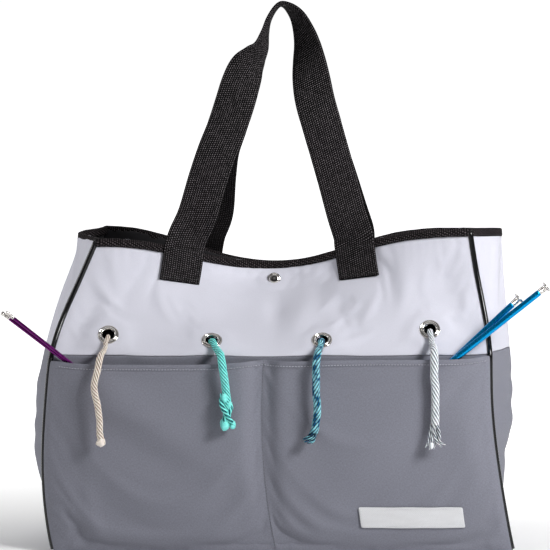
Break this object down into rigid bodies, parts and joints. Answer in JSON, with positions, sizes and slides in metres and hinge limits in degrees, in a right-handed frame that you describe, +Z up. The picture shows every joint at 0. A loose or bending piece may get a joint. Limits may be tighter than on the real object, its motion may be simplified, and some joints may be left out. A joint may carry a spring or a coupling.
{
  "type": "knitting bag",
  "caption": "Two-tone fabric knitting bag with front pockets, yarn grommets with hanging yarn tails, a snap closure, webbing handles and knitting needles in the pockets.",
  "frame": {"origin": "centre of the base on the surface the bag stands on", "axes": "+Z up, -Y out of the front with the pockets, +X to the right seen from the front"},
  "size_m": [0.5138, 0.2165, 0.5192],
  "materials": {
    "dark_fabric": "woven polyester, matt",
    "pale_fabric": "coated woven polyester, soft sheen",
    "board": "matt",
    "piping": "tight satin weave",
    "binding_tape": "ribbed tape",
    "lining_fabric": "plain weave, matt",
    "nickel": "nickel plate",
    "webbing": "coarse diagonal weave",
    "label_fabric": "plain woven label",
    "purple_metal": "anodised",
    "blue_metal": "anodised",
    "yarn_cream": "twisted wool",
    "yarn_turquoise": "twisted wool",
    "yarn_teal": "variegated twisted wool",
    "yarn_grey": "twisted wool"
  },
  "bodies": {
    "bag": {"base_panel": "dark_fabric", "base_board": "board", "front_panel_lower": "dark_fabric", "front_panel_upper": "pale_fabric", "front_pocket": "dark_fabric", "back_panel_lower": "dark_fabric", "back_panel_upper": "pale_fabric", "left_gusset_lower": "dark_fabric", "left_gusset_upper": "pale_fabric", "right_gusset_lower": "dark_fabric", "right_gusset_upper": "pale_fabric", "piping_front_left": "piping", "piping_front_right": "piping", "piping_back_left": "piping", "piping_back_right": "piping", "rim_binding": "binding_tape", "lining_front": "lining_fabric", "lining_back": "lining_fabric", "lining_left": "lining_fabric", "lining_right": "lining_fabric", "lining_base": "lining_fabric", "grommets": "nickel", "grommet_washers": "nickel", "snap_cap": "nickel", "snap_socket": "nickel", "snap_stud": "nickel", "snap_back_cap": "nickel", "foot_front_left": "webbing", "foot_front_right": "webbing", "foot_back_left": "webbing", "foot_back_right": "webbing", "blank_label": "label_fabric"},
    "handle_front": {"handle_front": "webbing"},
    "handle_back": {"handle_back": "webbing"},
    "needle_purple_1": {"needle_purple_1": "purple_metal", "needle_cap_purple_1": "nickel"},
    "needle_purple_2": {"needle_purple_2": "purple_metal", "needle_cap_purple_2": "nickel"},
    "needle_blue_1": {"needle_blue_1": "blue_metal", "needle_cap_blue_1": "nickel"},
    "needle_blue_2": {"needle_blue_2": "blue_metal", "needle_cap_blue_2": "nickel"},
    "tail_cream": {"yarn_cream": "yarn_cream", "yarn_end_cream": "yarn_cream", "stopper_cream": "yarn_cream"},
    "tail_turquoise": {"yarn_turquoise": "yarn_turquoise", "yarn_end_turquoise": "yarn_turquoise", "stopper_turquoise": "yarn_turquoise"},
    "tail_teal": {"yarn_teal": "yarn_teal", "yarn_end_teal": "yarn_teal", "stopper_teal": "yarn_teal"},
    "tail_grey": {"yarn_grey": "yarn_grey", "yarn_end_grey": "yarn_grey", "stopper_grey": "yarn_grey"}
  },
  "joints": [
    {"name": "handle_front_flop", "type": "hinge", "parent": "bag", "child": "handle_front", "pos_m": [0, -0.04, 0.293], "axis": [1, 0, 0], "range_deg": [0, 140]},
    {"name": "handle_back_flop", "type": "hinge", "parent": "bag", "child": "handle_back", "pos_m": [0, 0.04, 0.293], "axis": [-1, 0, 0], "range_deg": [0, 140]},
    {"name": "needle_purple_1_slide", "type": "slide", "parent": "bag", "child": "needle_purple_1", "axis": [-0.7934, 0, 0.6088], "range_m": [-0.02, 0.185]},
    {"name": "needle_purple_2_slide", "type": "slide", "parent": "bag", "child": "needle_purple_2", "axis": [-0.7826, 0, 0.6225], "range_m": [-0.02, 0.185]},
    {"name": "needle_blue_1_slide", "type": "slide", "parent": "bag", "child": "needle_blue_1", "axis": [0.7826, 0, 0.6225], "range_m": [-0.02, 0.146]},
    {"name": "needle_blue_2_slide", "type": "slide", "parent": "bag", "child": "needle_blue_2", "axis": [0.7254, 0, 0.6884], "range_m": [-0.01, 0.172]},
    {"name": "tail_cream_swing", "type": "hinge", "parent": "bag", "child": "tail_cream", "pos_m": [-0.16511, -0.07898, 0.20376], "axis": [0, 1, 0], "range_deg": [-11, 11]},
    {"name": "tail_turquoise_swing", "type": "hinge", "parent": "bag", "child": "tail_turquoise", "pos_m": [-0.06776, -0.07809, 0.19812], "axis": [0, 1, 0], "range_deg": [-11, 11]},
    {"name": "tail_teal_swing", "type": "hinge", "parent": "bag", "child": "tail_teal", "pos_m": [0.03622, -0.07789, 0.19845], "axis": [0, 1, 0], "range_deg": [-11, 11]},
    {"name": "tail_grey_swing", "type": "hinge", "parent": "bag", "child": "tail_grey", "pos_m": [0.13805, -0.07674, 0.2086], "axis": [0, 1, 0], "range_deg": [-11, 11]}
  ]
}
